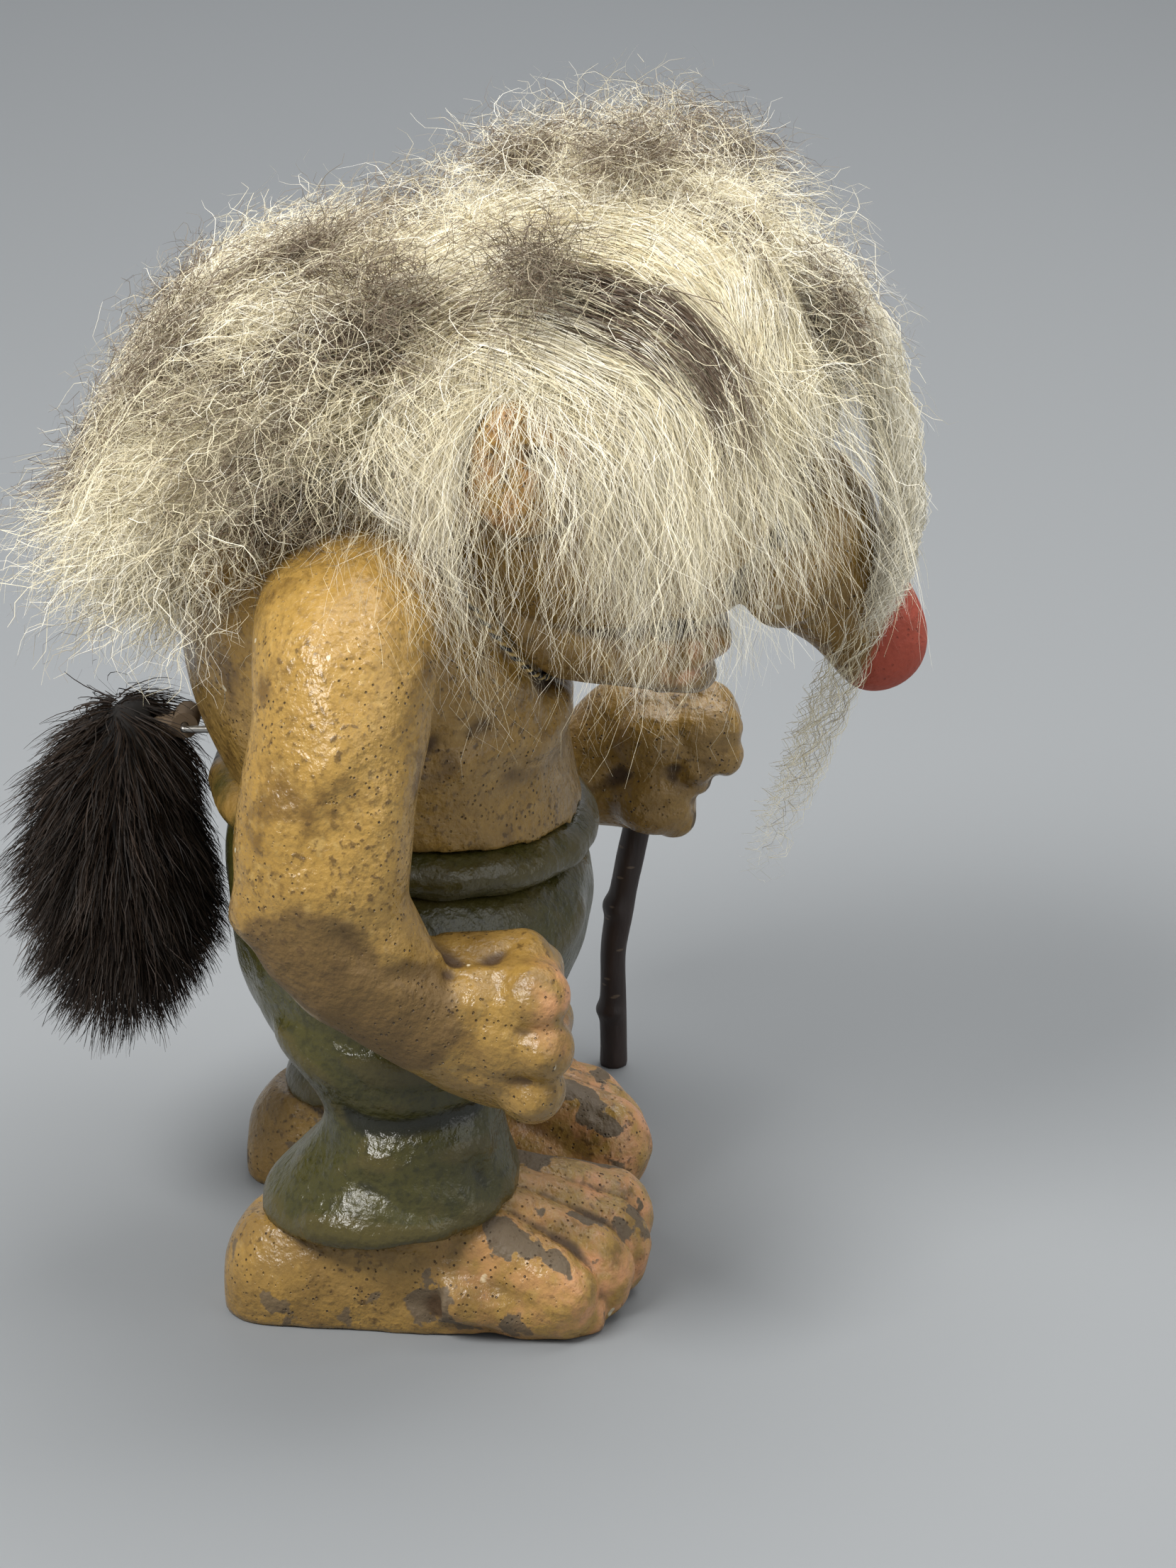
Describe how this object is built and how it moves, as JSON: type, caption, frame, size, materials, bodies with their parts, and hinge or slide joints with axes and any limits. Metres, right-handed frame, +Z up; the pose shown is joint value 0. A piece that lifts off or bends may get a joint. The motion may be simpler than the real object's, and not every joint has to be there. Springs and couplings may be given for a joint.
{
  "type": "troll figure",
  "caption": "Hunched folk troll with a long nose, wool hair, a fur tail that swings and a twig walking stick that slides in its fist.",
  "frame": {"origin": "on the floor under the middle of the whole figure's box, between the feet", "axes": "+Z up, the figure looks along -Y, its left hand is on +X"},
  "size_m": [0.1676, 0.1782, 0.2264],
  "materials": {
    "skin": "gloss",
    "trouser_green": "gloss",
    "eye": "gloss",
    "ivory": "satin",
    "wool": "matte",
    "dark_fur": "matte",
    "hide": "matte",
    "twisted_cord": "satin",
    "bark": "matte",
    "dowel_wood": "matte",
    "wire": "satin"
  },
  "bodies": {
    "figure": {"torso": "skin", "waistband": "trouser_green", "trousers": "trouser_green", "right_foot": "skin", "left_foot": "skin", "right_arm": "skin", "left_arm": "skin", "head": "skin", "right_eye": "eye", "left_eye": "eye", "tooth": "ivory", "neck_dowel": "dowel_wood", "waist_dowel": "dowel_wood", "right_shoulder_dowel": "dowel_wood", "left_shoulder_dowel": "dowel_wood", "right_ankle_dowel": "dowel_wood", "left_ankle_dowel": "dowel_wood", "neck_cord": "twisted_cord", "crown_hide": "hide", "nape_hide": "hide", "crown_wool": "wool", "nape_wool": "wool", "forelock": "wool", "tail_staple": "wire"},
    "stick": {"stick": "bark"},
    "tail": {"tail_hide": "hide", "tail_fur": "dark_fur"}
  },
  "joints": [
    {"name": "stick_slide", "type": "slide", "parent": "figure", "child": "stick", "axis": [-0.0903, -0.1695, 0.9814], "range_m": [0, 0.02]},
    {"name": "tail_swing", "type": "hinge", "parent": "figure", "child": "tail", "pos_m": [0, 0.0556, 0.1115], "axis": [1, 0, 0], "range_deg": [0, 30]}
  ]
}
